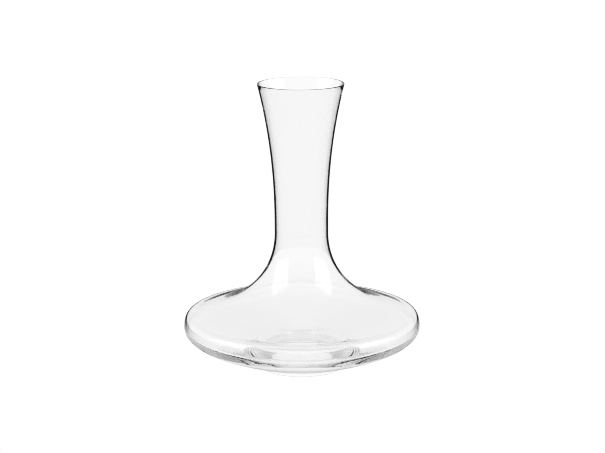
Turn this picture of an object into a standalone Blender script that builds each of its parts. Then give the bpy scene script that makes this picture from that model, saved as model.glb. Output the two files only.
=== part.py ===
"""Wine decanter: a wide, flat bowl with a waisted neck, blown as one piece of clear glass.

The vessel is a surface of revolution. Half of the wall's section is drawn in the XZ plane, from
the middle of the floor, up the inside, over the rim, down the outside and under the foot, and a
Screw modifier turns it around Z. The foot stands on Z = 0, and sizes are in metres.
"""

import math

import bpy
from mathutils import Vector
from mathutils.geometry import interpolate_bezier

# Bowl
BOWL_RADIUS = 0.110
WIDEST_Z = 0.0397
UNDERSIDE_SLOPE = math.radians(21.6)   # of the bowl's underside where it leaves the foot
UNDERSIDE_REACH = 0.059
BELLY_REACH_DOWN = 0.0125
BELLY_REACH_UP = 0.0136
BELLY_TOP_RADIUS = 0.0998              # where the belly's tight turn ends
BELLY_TOP_Z = 0.0514
BELLY_TOP_SLOPE = math.radians(20.8)
BELLY_TOP_REACH_OUT = 0.0025
BELLY_TOP_REACH_IN = 0.0136
SHOULDER_RADIUS = 0.0794
SHOULDER_Z = 0.0580
SHOULDER_SLOPE = math.radians(18.4)
SHOULDER_REACH_OUT = 0.0030
SHOULDER_REACH_IN = 0.0367

# Neck
WAIST_RADIUS = 0.0247
WAIST_Z = 0.1278
WAIST_REACH_DOWN = 0.0321
WAIST_REACH_UP = 0.0246
RIM_RADIUS = 0.0396
RIM_Z = 0.2658
RIM_FLARE = math.radians(13.9)         # of the neck from upright, just under the rim
RIM_REACH = 0.0651

# Wall and floor
RIM_WALL = 0.0012
NECK_WALL = 0.0017                     # at the waist
BOWL_WALL = 0.0018
FLOOR_Z = 0.0110                       # inside, round the raised middle
FLOOR_FLAT = 0.030                     # radius where the floor starts to climb
FLOOR_REACH = 0.025                    # how far out from there it stays nearly level
FLOOR_RISE = 0.012                     # how far down the belly's inner side stays nearly upright
MOUND_HEIGHT = 0.0110                  # of the floor's middle, which is raised over the punt
MOUND_TOP = 0.041                      # radius where the raised middle starts to fall
MOUND_FOOT = 0.055                     # radius where it ends

# Foot
FOOT_RADIUS = 0.0400
FOOT_HEIGHT = 0.0021
FOOT_ROUNDING = 0.0010
PUNT_HEIGHT = 0.0190                   # how far the underside is pushed up
PUNT_TOP = 0.036                       # radius of the punt's level top
PUNT_FOOT = 0.0375                     # radius of its mouth, where the ring it stands on begins

# Fineness of the mesh
AROUND = 60
BOWL_POINTS = 8
TURN_POINTS = 7
SHOULDER_POINTS = 4
NECK_POINTS = 9
RIM_STEPS = 6
FLOOR_POINTS = 24
PUNT_STEPS = 6
ROUNDING_STEPS = 3
MERGE_DISTANCE = 0.00005

UP = Vector((0.0, 1.0))
OUT = Vector((1.0, 0.0))


def direction(angle):
    """The unit vector of the section's plane at an angle above the outward direction."""
    return Vector((math.cos(angle), math.sin(angle)))


def stretch(start, start_handle, end_handle, end, points):
    """Points along a Bezier stretch; each handle is a vector from its own end."""
    controls = (start, start + start_handle, end + end_handle, end)
    return [point.to_2d() for point in interpolate_bezier(*[c.to_3d() for c in controls], points)]


def joined(*stretches):
    """One list of points from stretches that each begin where the last one ended."""
    points = list(stretches[0])
    for following in stretches[1:]:
        points += following[1:]
    return points


def mound(radius, height, top, foot):
    """A smooth mound's height at a distance from the axis; it is level inside its top's radius."""
    share = min(1.0, max(0.0, (radius - top) / (foot - top)))
    return height * (1 + math.cos(math.pi * share)) / 2


def underside():
    """The outside of the bowl from the top of the foot to the widest level."""
    foot_top = Vector((FOOT_RADIUS, FOOT_HEIGHT))
    widest = Vector((BOWL_RADIUS, WIDEST_Z))
    leaving = direction(UNDERSIDE_SLOPE) * UNDERSIDE_REACH
    return stretch(foot_top, leaving, -UP * BELLY_REACH_DOWN, widest, BOWL_POINTS)


def shoulder_and_neck():
    """The outside from the widest level, over the shoulder and up the neck to the rim."""
    widest = Vector((BOWL_RADIUS, WIDEST_Z))
    belly_top = Vector((BELLY_TOP_RADIUS, BELLY_TOP_Z))
    shoulder = Vector((SHOULDER_RADIUS, SHOULDER_Z))
    waist = Vector((WAIST_RADIUS, WAIST_Z))
    rim = Vector((RIM_RADIUS, RIM_Z))
    down_belly = direction(-BELLY_TOP_SLOPE)
    down_shoulder = direction(-SHOULDER_SLOPE)
    down_flare = -direction(math.pi / 2 - RIM_FLARE)
    return joined(
        stretch(widest, UP * BELLY_REACH_UP, down_belly * BELLY_TOP_REACH_OUT, belly_top, TURN_POINTS),
        stretch(belly_top, -down_belly * BELLY_TOP_REACH_IN, down_shoulder * SHOULDER_REACH_OUT,
                shoulder, SHOULDER_POINTS),
        stretch(shoulder, -down_shoulder * SHOULDER_REACH_IN, -UP * WAIST_REACH_DOWN, waist, NECK_POINTS),
        stretch(waist, UP * WAIST_REACH_UP, down_flare * RIM_REACH, rim, NECK_POINTS),
    )


def wall_at(height):
    """Thickness of the blown wall, which thins from the belly to the waist and on to the rim."""
    if height < WAIST_Z:
        share = (height - WIDEST_Z) / (WAIST_Z - WIDEST_Z)
        return BOWL_WALL + (NECK_WALL - BOWL_WALL) * share
    share = min(1.0, (height - WAIST_Z) / (RIM_Z - WAIST_Z))
    return NECK_WALL + (RIM_WALL - NECK_WALL) * share


def inner_side(outside):
    """The inside of the wall, set in from points that climb its outside."""
    inside = []
    for index, point in enumerate(outside):
        before = outside[max(index - 1, 0)]
        after = outside[min(index + 1, len(outside) - 1)]
        climb = (after - before).normalized()
        inside.append(point + Vector((-climb.y, climb.x)) * wall_at(point.y))
    return inside


def floor(inner_widest):
    """The inside of the bowl from the middle of the floor up to the widest level."""
    middle = Vector((0.0, FLOOR_Z))
    flat_edge = Vector((FLOOR_FLAT, FLOOR_Z))
    climb = stretch(flat_edge, OUT * FLOOR_REACH, -UP * FLOOR_RISE, inner_widest, FLOOR_POINTS)
    return [point + UP * mound(point.x, MOUND_HEIGHT, MOUND_TOP, MOUND_FOOT) for point in [middle] + climb]


def rounded_rim(inner_edge, outer_edge):
    """The half circle over the rim, without its two ends."""
    centre = (inner_edge + outer_edge) / 2
    radius = inner_edge - centre
    start = math.atan2(radius.y, radius.x)
    angles = [start - math.pi * step / RIM_STEPS for step in range(1, RIM_STEPS)]
    return [centre + direction(angle) * radius.length for angle in angles]


def foot_and_punt():
    """The foot's rounded edge, the level ring it stands on, and the pushed-up underside."""
    angles = [math.pi / 2 * step / ROUNDING_STEPS for step in range(ROUNDING_STEPS + 1)]
    centre = Vector((FOOT_RADIUS - FOOT_ROUNDING, FOOT_ROUNDING))
    edge = [centre + direction(-angle) * FOOT_ROUNDING for angle in angles]
    radii = [PUNT_FOOT + (PUNT_TOP - PUNT_FOOT) * step / PUNT_STEPS for step in range(PUNT_STEPS + 1)]
    punt = [Vector((radius, mound(radius, PUNT_HEIGHT, PUNT_TOP, PUNT_FOOT))) for radius in radii + [0.0]]
    return edge + punt


def vessel_section():
    """The closed half section, which runs down its outer side as the Screw modifier wants."""
    outside = shoulder_and_neck()
    inside = inner_side(outside)
    return (joined(floor(inside[0]), inside)
            + rounded_rim(inside[-1], outside[-1])
            + joined(outside[::-1], underside()[::-1])
            + foot_and_punt())


def clear_glass():
    """Clear, faintly cool glass with a fire-polished surface."""
    material = bpy.data.materials.new("clear_glass")
    material.use_nodes = True
    shader = material.node_tree.nodes["Principled BSDF"]
    shader.inputs["Base Color"].default_value = (0.97, 0.98, 0.98, 1.0)
    shader.inputs["Roughness"].default_value = 0.02
    shader.inputs["Metallic"].default_value = 0.0
    shader.inputs["Transmission Weight"].default_value = 1.0
    shader.inputs["IOR"].default_value = 1.5
    return material


def glass_vessel():
    """The decanter's one piece, turned from its half section."""
    points = [(point.x, 0.0, point.y) for point in vessel_section()]
    edges = [(index, index + 1) for index in range(len(points) - 1)]
    mesh = bpy.data.meshes.new("glass_vessel")
    mesh.from_pydata(points, edges, [])
    mesh.materials.append(clear_glass())
    vessel = bpy.data.objects.new("glass_vessel", mesh)
    bpy.context.collection.objects.link(vessel)
    turn = vessel.modifiers.new("turn", "SCREW")
    turn.axis = "Z"
    turn.angle = math.tau
    turn.steps = AROUND
    turn.render_steps = AROUND
    turn.use_merge_vertices = True
    turn.merge_threshold = MERGE_DISTANCE
    turn.use_smooth_shade = True
    return vessel


def main():
    for old in list(bpy.data.objects):
        bpy.data.objects.remove(old)
    glass_vessel()


main()
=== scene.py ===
"""Studio picture of a clear glass wine decanter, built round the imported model's frame.

The decanter is one blown vessel, a surface of revolution with a wide flat bowl, a waisted neck, a
rounded rim and a low foot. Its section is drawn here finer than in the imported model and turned
around Z. It stands on a white floor in a white studio. The room and the floor look white when seen
straight or straight through the glass, and darker to light that the glass mirrors low down, which
gives the decanter its dark edges. Sizes are in metres.
"""

import math

import bpy
from mathutils import Matrix, Vector
from mathutils.geometry import interpolate_bezier


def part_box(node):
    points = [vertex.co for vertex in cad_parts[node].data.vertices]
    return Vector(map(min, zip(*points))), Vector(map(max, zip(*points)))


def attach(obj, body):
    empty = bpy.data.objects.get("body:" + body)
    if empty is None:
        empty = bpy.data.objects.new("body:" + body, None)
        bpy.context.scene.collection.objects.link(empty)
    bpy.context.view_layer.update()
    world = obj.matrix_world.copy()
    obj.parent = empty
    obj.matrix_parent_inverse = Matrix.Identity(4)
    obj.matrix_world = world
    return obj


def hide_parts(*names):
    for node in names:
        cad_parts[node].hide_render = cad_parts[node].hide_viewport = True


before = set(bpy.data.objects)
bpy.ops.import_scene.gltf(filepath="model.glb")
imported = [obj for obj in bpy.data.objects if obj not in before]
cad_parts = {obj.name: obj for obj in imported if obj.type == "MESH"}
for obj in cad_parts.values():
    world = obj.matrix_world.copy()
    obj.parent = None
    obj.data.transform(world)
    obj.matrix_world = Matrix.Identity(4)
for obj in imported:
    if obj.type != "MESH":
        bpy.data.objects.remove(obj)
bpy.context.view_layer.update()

# Camera
CAMERA_DISTANCE = 1.500
CAMERA_HEIGHT = 0.497
CAMERA_PITCH = math.radians(13.64)     # below level
CAMERA_ROLL = math.radians(-0.30)
CAMERA_LENS = 99.4                     # mm
SENSOR_WIDTH = 36.0                    # mm
CAMERA_SHIFT = 0.0018

# Bowl; its radius and the rim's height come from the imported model
WIDEST_Z = 0.0397
UNDERSIDE_SLOPE = math.radians(21.6)   # of the bowl's underside where it leaves the foot
UNDERSIDE_REACH = 0.059
BELLY_REACH_DOWN = 0.0125
BELLY_REACH_UP = 0.0136
BELLY_TOP_RADIUS = 0.0998              # where the belly's tight turn ends
BELLY_TOP_Z = 0.0514
BELLY_TOP_SLOPE = math.radians(20.8)
BELLY_TOP_REACH_OUT = 0.0025
BELLY_TOP_REACH_IN = 0.0136
SHOULDER_RADIUS = 0.0794
SHOULDER_Z = 0.0580
SHOULDER_SLOPE = math.radians(18.4)
SHOULDER_REACH_OUT = 0.0030
SHOULDER_REACH_IN = 0.0367

# Neck
WAIST_RADIUS = 0.0247
WAIST_Z = 0.1278
WAIST_REACH_DOWN = 0.0321
WAIST_REACH_UP = 0.0246
RIM_RADIUS = 0.0396
RIM_Z = 0.2658
RIM_FLARE = math.radians(13.9)         # of the neck from upright, just under the rim
RIM_REACH = 0.0651

# Wall and floor
RIM_WALL = 0.0012
NECK_WALL = 0.0017                     # at the waist
BOWL_WALL = 0.0018                     # at the widest level
FLOOR_Z = 0.0110                       # inside, round the raised middle
FLOOR_FLAT = 0.030                     # radius where the floor starts to climb
FLOOR_REACH = 0.025                    # how far out from there it stays nearly level
FLOOR_RISE = 0.012                     # how far down the belly's inner side stays nearly upright
MOUND_HEIGHT = 0.0110                  # of the floor's middle, which is raised over the punt
MOUND_TOP = 0.041                      # radius where the raised middle starts to fall
MOUND_FOOT = 0.055                     # radius where it ends

# Foot
FOOT_RADIUS = 0.0400
FOOT_HEIGHT = 0.0021
FOOT_ROUNDING = 0.0010
PUNT_HEIGHT = 0.0190                   # how far the underside is pushed up
PUNT_TOP = 0.036                       # radius of the punt's level top
PUNT_FOOT = 0.0375                     # radius of its mouth, where the ring it stands on begins

# Fineness of the mesh
AROUND = 216
CURVE_POINTS = 40
TURN_POINTS = 20
FLOOR_POINTS = 100
LEVEL_STEPS = 4
FLANK_STEPS = 24
RIM_STEPS = 10
ROUNDING_STEPS = 8
SHARP_EDGE = math.radians(35)          # between faces that aren't shaded as one smooth surface
FLOOR_CORNERS = 96                     # of the studio floor's disc

# Picture
BOUNCES = 64                           # of light in the glass, whose base turns it many times
PIXEL_FILTER = 1.0                     # pixels, for crisp edges

# Glass
CLEAR = (0.990, 0.990, 0.990, 1.0)     # what each surface lets through
REFRACTION = 1.5
ABSORPTION = 2.0                       # per metre of glass
WAVES_PER_METRE = 28.0                 # of the slow waves left by the blowing
WAVE_SQUASH = 2.2                      # how much shorter they are along the axis than round it
WAVE_HEIGHT = 0.00012
RIPPLES_PER_METRE = 240.0              # of the fine unevenness of the fire polish
RIPPLE_SHARE = 0.04                    # of the ripples in the surface's height
SMEAR_ROUGHNESS = 0.010                # where the surface is least clean
SMEAR_EDGE = (0.55, 0.75)              # of the waves' height, where smears start and are full

# Studio
FLOOR_SIZE = 8.0                       # radius of the floor
FLOOR_DROP = 0.0003                    # just under the foot
WHITE = 1.0
MIRRORED_HIGH = 0.60                   # what the glass mirrors overhead, and white at eye level
MIRRORED_EDGE = (10.0, 60.0)           # degrees above level where white fades into that
OUTSIDE_SHARE = 0.60                   # of the same, for what the glass's outside mirrors
OUTSIDE_LOW = 0.05                     # what its outside mirrors low down behind it
OUTSIDE_EDGE = (-6.0, 0.0)             # degrees above level where that ends
BEHIND = (0.50, 0.80)                  # how far back a direction points where it starts and is full
BEHIND_FLOOR = (0.16, 0.28)            # how far back on the floor it starts and is full
WALL_LOW = 0.0                         # what light turned inside a single wall shows low down
WALL_HIGH = 0.95                       # at eye level and above it
WALL_TOP = 0.45                        # and overhead
WALL_EDGE = (-12.0, -4.0)              # degrees above level where low fades into high
WALL_FLOOR = (0.13, 0.22)              # distance on the floor where white fades into low
BOX_STRENGTH = 2.0                     # of the two soft boxes that the glass's outside mirrors
BOX_NEAR_SIDE = (46.0, 54.0)           # degrees left and right of the camera where they fade in
BOX_FAR_SIDE = (96.0, 106.0)           # and out again
BOX_BOTTOM = (8.0, 14.0)               # degrees above level where they fade in
BOX_TOP = (48.0, 58.0)                 # and out again

UP = Vector((0.0, 1.0))
OUT = Vector((1.0, 0.0))


def direction(angle):
    """The unit vector of the section's plane at an angle above the outward direction."""
    return Vector((math.cos(angle), math.sin(angle)))


def stretch(start, start_handle, end_handle, end, points=CURVE_POINTS):
    """Points along a Bezier stretch; each handle is a vector from its own end."""
    controls = (start, start + start_handle, end + end_handle, end)
    return [point.to_2d() for point in interpolate_bezier(*[c.to_3d() for c in controls], points)]


def joined(*stretches):
    """One list of points from stretches that each begin where the last one ended."""
    points = list(stretches[0])
    for following in stretches[1:]:
        points += following[1:]
    return points


def mound(radius, height, top, foot):
    """A smooth mound's height at a distance from its middle; it is level inside its top's radius."""
    share = min(1.0, max(0.0, (radius - top) / (foot - top)))
    return height * (1 + math.cos(math.pi * share)) / 2


def underside(bowl_radius):
    """The outside of the bowl from the top of the foot to the widest level."""
    foot_top = Vector((FOOT_RADIUS, FOOT_HEIGHT))
    widest = Vector((bowl_radius, WIDEST_Z))
    leaving = direction(UNDERSIDE_SLOPE) * UNDERSIDE_REACH
    return stretch(foot_top, leaving, -UP * BELLY_REACH_DOWN, widest)


def shoulder_and_neck(bowl_radius):
    """The outside from the widest level, over the shoulder and up the neck to the rim."""
    widest = Vector((bowl_radius, WIDEST_Z))
    belly_top = Vector((BELLY_TOP_RADIUS, BELLY_TOP_Z))
    shoulder = Vector((SHOULDER_RADIUS, SHOULDER_Z))
    waist = Vector((WAIST_RADIUS, WAIST_Z))
    rim = Vector((RIM_RADIUS, RIM_Z))
    down_belly = direction(-BELLY_TOP_SLOPE)
    down_shoulder = direction(-SHOULDER_SLOPE)
    down_flare = -direction(math.pi / 2 - RIM_FLARE)
    return joined(
        stretch(widest, UP * BELLY_REACH_UP, down_belly * BELLY_TOP_REACH_OUT, belly_top, TURN_POINTS),
        stretch(belly_top, -down_belly * BELLY_TOP_REACH_IN, down_shoulder * SHOULDER_REACH_OUT,
                shoulder, TURN_POINTS),
        stretch(shoulder, -down_shoulder * SHOULDER_REACH_IN, -UP * WAIST_REACH_DOWN, waist),
        stretch(waist, UP * WAIST_REACH_UP, down_flare * RIM_REACH, rim),
    )


def wall_at(height):
    """Thickness of the blown wall, which thins from the belly to the waist and on to the rim."""
    if height < WAIST_Z:
        share = (height - WIDEST_Z) / (WAIST_Z - WIDEST_Z)
        return BOWL_WALL + (NECK_WALL - BOWL_WALL) * share
    share = min(1.0, (height - WAIST_Z) / (RIM_Z - WAIST_Z))
    return NECK_WALL + (RIM_WALL - NECK_WALL) * share


def inner_side(outside):
    """The inside of the wall, set in from points that climb its outside."""
    inside = []
    for index, point in enumerate(outside):
        before = outside[max(index - 1, 0)]
        after = outside[min(index + 1, len(outside) - 1)]
        climb = (after - before).normalized()
        inside.append(point + Vector((-climb.y, climb.x)) * wall_at(point.y))
    return inside


def floor_inside(inner_widest):
    """The inside of the bowl from the middle of the floor up to the widest level."""
    level = [Vector((FLOOR_FLAT * step / LEVEL_STEPS, FLOOR_Z)) for step in range(LEVEL_STEPS + 1)]
    climb = stretch(level[-1], OUT * FLOOR_REACH, -UP * FLOOR_RISE, inner_widest, FLOOR_POINTS)
    return [point + UP * mound(point.x, MOUND_HEIGHT, MOUND_TOP, MOUND_FOOT)
            for point in joined(level, climb)]


def rounded_rim(inner_edge, outer_edge):
    """The half circle over the rim, without its two ends."""
    centre = (inner_edge + outer_edge) / 2
    radius = inner_edge - centre
    start = math.atan2(radius.y, radius.x)
    angles = [start - math.pi * step / RIM_STEPS for step in range(1, RIM_STEPS)]
    return [centre + direction(angle) * radius.length for angle in angles]


def foot_and_punt():
    """The foot's rounded edge, the level ring it stands on, and the pushed-up underside."""
    angles = [math.pi / 2 * step / ROUNDING_STEPS for step in range(ROUNDING_STEPS + 1)]
    centre = Vector((FOOT_RADIUS - FOOT_ROUNDING, FOOT_ROUNDING))
    edge = [centre + direction(-angle) * FOOT_ROUNDING for angle in angles]
    flank = [PUNT_FOOT + (PUNT_TOP - PUNT_FOOT) * step / FLANK_STEPS for step in range(FLANK_STEPS)]
    top = [PUNT_TOP * (1 - step / LEVEL_STEPS) for step in range(LEVEL_STEPS + 1)]
    punt = [Vector((radius, mound(radius, PUNT_HEIGHT, PUNT_TOP, PUNT_FOOT))) for radius in flank + top]
    return edge + punt


def vessel_section(bowl_radius):
    """The closed half section, from the middle of the floor over the rim to the punt's middle."""
    outside = shoulder_and_neck(bowl_radius)
    inside = inner_side(outside)
    return (joined(floor_inside(inside[0]), inside)
            + rounded_rim(inside[-1], outside[-1])
            + joined(outside[::-1], underside(bowl_radius)[::-1])
            + foot_and_punt())


def turned(section, name):
    """A closed mesh turned around Z from a section that starts and ends on the axis."""
    rings = section[1:-1]
    points = [(0.0, 0.0, section[0].y)]
    for point in rings:
        for step in range(AROUND):
            angle = math.tau * step / AROUND
            points.append((point.x * math.cos(angle), point.x * math.sin(angle), point.y))
    points.append((0.0, 0.0, section[-1].y))
    last = len(points) - 1
    faces = []
    for step in range(AROUND):
        beside = (step + 1) % AROUND
        faces.append((0, 1 + step, 1 + beside))
        faces.append((last, last - AROUND + beside, last - AROUND + step))
        for ring in range(len(rings) - 1):
            low, high = 1 + ring * AROUND, 1 + (ring + 1) * AROUND
            faces.append((low + step, high + step, high + beside, low + beside))
    mesh = bpy.data.meshes.new(name)
    mesh.from_pydata(points, [], faces)
    mesh.shade_smooth()
    return mesh


class Nodes:
    """Short forms for building a node tree."""

    def __init__(self, tree):
        self.tree = tree
        tree.nodes.clear()

    def add(self, kind, **inputs):
        """A new node, with its inputs set or linked by name."""
        node = self.tree.nodes.new(kind)
        for name, value in inputs.items():
            self.put(node.inputs[name.replace("_", " ")], value)
        return node

    def put(self, socket, value):
        """Sets a socket to a value, or links it from another node's output."""
        if isinstance(value, bpy.types.NodeSocket):
            self.tree.links.new(value, socket)
        else:
            socket.default_value = value

    def math(self, operation, first, second=0.0):
        """The result of a Math node."""
        node = self.tree.nodes.new("ShaderNodeMath")
        node.operation = operation
        self.put(node.inputs[0], first)
        self.put(node.inputs[1], second)
        return node.outputs[0]

    def mix(self, share, first, second):
        """first where share is 0 and second where it is 1."""
        return self.add("ShaderNodeMix", Factor=share, A=first, B=second).outputs[0]

    def fade(self, value, edge):
        """0 below the edge's first value, 1 above its second, and smooth between."""
        node = self.tree.nodes.new("ShaderNodeMapRange")
        node.interpolation_type = "SMOOTHSTEP"
        self.put(node.inputs["Value"], value)
        self.put(node.inputs["From Min"], edge[0])
        self.put(node.inputs["From Max"], edge[1])
        return node.outputs[0]


def as_seen(nodes, mirrored, off_outside, turned_in_wall):
    """White for light that only passes through the glass and for light straight to the lens.
    For light that bounced, off_outside if it never entered the glass, turned_in_wall if it bounced
    inside one wall, and mirrored otherwise."""
    path = nodes.add("ShaderNodeLightPath").outputs
    outside = nodes.math("COMPARE", path["Transmission Depth"], 0.0)
    in_wall = nodes.math("COMPARE", path["Transmission Depth"], 2.0)
    bounced = nodes.math("GREATER_THAN", path["Glossy Depth"], 0.5)
    off_glass = nodes.mix(in_wall, nodes.mix(outside, mirrored, off_outside), turned_in_wall)
    return nodes.mix(bounced, WHITE, off_glass)


def soft_boxes(nodes, axes, elevation):
    """Two soft boxes, left and right of the camera, by their direction from the decanter."""
    sideways = nodes.math("ARCTAN2", nodes.math("ABSOLUTE", axes["X"]),
                          nodes.math("MULTIPLY", axes["Y"], -1.0))
    azimuth = nodes.math("MULTIPLY", sideways, math.degrees(1))
    past_far_side = nodes.fade(azimuth, BOX_FAR_SIDE)
    across = nodes.math("SUBTRACT", nodes.fade(azimuth, BOX_NEAR_SIDE), past_far_side)
    past_top = nodes.fade(elevation, BOX_TOP)
    up = nodes.math("SUBTRACT", nodes.fade(elevation, BOX_BOTTOM), past_top)
    return nodes.math("MULTIPLY", nodes.math("MULTIPLY", across, up), BOX_STRENGTH)


def studio():
    """The white room, which is dark below level for the edges that mirror it."""
    world = bpy.data.worlds.new("studio")
    world.use_nodes = True
    nodes = Nodes(world.node_tree)
    place = nodes.add("ShaderNodeTexCoord")
    axes = nodes.add("ShaderNodeSeparateXYZ", Vector=place.outputs["Generated"]).outputs
    elevation = nodes.math("MULTIPLY", nodes.math("ARCSINE", axes["Z"]), math.degrees(1))
    overhead = nodes.fade(elevation, MIRRORED_EDGE)
    above = nodes.fade(elevation, WALL_EDGE)
    mirrored = nodes.mix(overhead, WHITE, MIRRORED_HIGH)
    by_wall = nodes.mix(above, WALL_LOW, nodes.mix(overhead, WALL_HIGH, WALL_TOP))
    behind = nodes.fade(axes["Y"], BEHIND)
    behind_and_high = nodes.math("MULTIPLY", behind, nodes.fade(elevation, OUTSIDE_EDGE))
    behind_and_low = nodes.math("SUBTRACT", behind, behind_and_high)
    lit = nodes.mix(behind_and_low, nodes.math("MULTIPLY", mirrored, OUTSIDE_SHARE), OUTSIDE_LOW)
    by_outside = nodes.math("ADD", lit, soft_boxes(nodes, axes, elevation))
    light = nodes.add("ShaderNodeBackground", Color=(1.0, 1.0, 1.0, 1.0),
                      Strength=as_seen(nodes, mirrored, by_outside, by_wall))
    output = nodes.add("ShaderNodeOutputWorld")
    nodes.put(output.inputs["Surface"], light.outputs[0])
    bpy.context.scene.world = world


def floor_material():
    """A white sweep, dark away from the decanter for the edges that mirror it."""
    material = bpy.data.materials.new("white_sweep")
    material.use_nodes = True
    nodes = Nodes(material.node_tree)
    place = nodes.add("ShaderNodeNewGeometry")
    axes = nodes.add("ShaderNodeSeparateXYZ", Vector=place.outputs["Position"]).outputs
    squares = [nodes.math("MULTIPLY", axes[name], axes[name]) for name in "XY"]
    distance = nodes.math("SQRT", nodes.math("ADD", squares[0], squares[1]))
    by_wall = nodes.mix(nodes.fade(distance, WALL_FLOOR), WHITE, WALL_LOW)
    behind = nodes.fade(axes["Y"], BEHIND_FLOOR)
    by_outside = nodes.mix(behind, OUTSIDE_SHARE, OUTSIDE_LOW)
    light = nodes.add("ShaderNodeEmission", Strength=as_seen(nodes, WHITE, by_outside, by_wall))
    output = nodes.add("ShaderNodeOutputMaterial")
    nodes.put(output.inputs["Surface"], light.outputs[0])
    return material


def studio_floor():
    """The floor that the decanter stands on."""
    bpy.ops.mesh.primitive_circle_add(vertices=FLOOR_CORNERS, radius=FLOOR_SIZE, fill_type="NGON",
                                      location=(0.0, 0.0, -FLOOR_DROP))
    disc = bpy.context.object
    disc.name = "studio_floor"
    disc.data.materials.append(floor_material())


def clear_glass():
    """Clear blown glass: slow waves that run round it, a fine unevenness, and faint smears."""
    material = bpy.data.materials.new("clear_blown_glass")
    material.use_nodes = True
    nodes = Nodes(material.node_tree)
    place = nodes.add("ShaderNodeTexCoord").outputs["Object"]
    squashed = nodes.add("ShaderNodeMapping", Vector=place, Scale=(1.0, 1.0, WAVE_SQUASH)).outputs[0]
    waves = nodes.add("ShaderNodeTexNoise", Vector=squashed, Scale=WAVES_PER_METRE, Detail=1.0).outputs[0]
    ripples = nodes.add("ShaderNodeTexNoise", Vector=place, Scale=RIPPLES_PER_METRE, Detail=2.0).outputs[0]
    height = nodes.mix(RIPPLE_SHARE, waves, ripples)
    surface = nodes.add("ShaderNodeBump", Height=height, Distance=WAVE_HEIGHT)
    smears = nodes.math("MULTIPLY", nodes.fade(waves, SMEAR_EDGE), SMEAR_ROUGHNESS)
    shader = nodes.add("ShaderNodeBsdfPrincipled", Base_Color=CLEAR, Roughness=smears,
                       Transmission_Weight=1.0, IOR=REFRACTION, Normal=surface.outputs[0])
    tint = nodes.add("ShaderNodeVolumeAbsorption", Color=(0.0, 0.0, 0.0, 1.0), Density=ABSORPTION)
    output = nodes.add("ShaderNodeOutputMaterial")
    nodes.put(output.inputs["Surface"], shader.outputs[0])
    nodes.put(output.inputs["Volume"], tint.outputs[0])
    return material


def camera():
    """The camera in front of the decanter, looking a little down on it."""
    lens = bpy.data.cameras.new("camera")
    lens.lens = CAMERA_LENS
    lens.sensor_fit = "HORIZONTAL"
    lens.sensor_width = SENSOR_WIDTH
    lens.shift_x = CAMERA_SHIFT
    stand = bpy.data.objects.new("camera", lens)
    stand.location = (0.0, -CAMERA_DISTANCE, CAMERA_HEIGHT)
    level = math.pi / 2 - CAMERA_PITCH
    aim = Matrix.Rotation(level, 3, "X") @ Matrix.Rotation(CAMERA_ROLL, 3, "Z")
    stand.rotation_euler = aim.to_euler()
    bpy.context.collection.objects.link(stand)
    bpy.context.scene.camera = stand


def vessel():
    """The decanter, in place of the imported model's node."""
    lowest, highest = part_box("glass_vessel")
    mesh = turned(vessel_section((highest.x - lowest.x) / 2), "decanter")
    mesh.set_sharp_from_angle(angle=SHARP_EDGE)
    mesh.materials.append(clear_glass())
    decanter = bpy.data.objects.new("decanter", mesh)
    bpy.context.collection.objects.link(decanter)
    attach(decanter, "root")
    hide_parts("glass_vessel")


def picture_settings():
    """Plain tones, and enough bounces for the glass in front of glass."""
    scene = bpy.context.scene
    scene.view_settings.view_transform = "Standard"
    scene.cycles.filter_width = PIXEL_FILTER
    scene.cycles.max_bounces = BOUNCES
    scene.cycles.transmission_bounces = BOUNCES
    scene.cycles.glossy_bounces = BOUNCES


camera()
picture_settings()
studio()
studio_floor()
vessel()
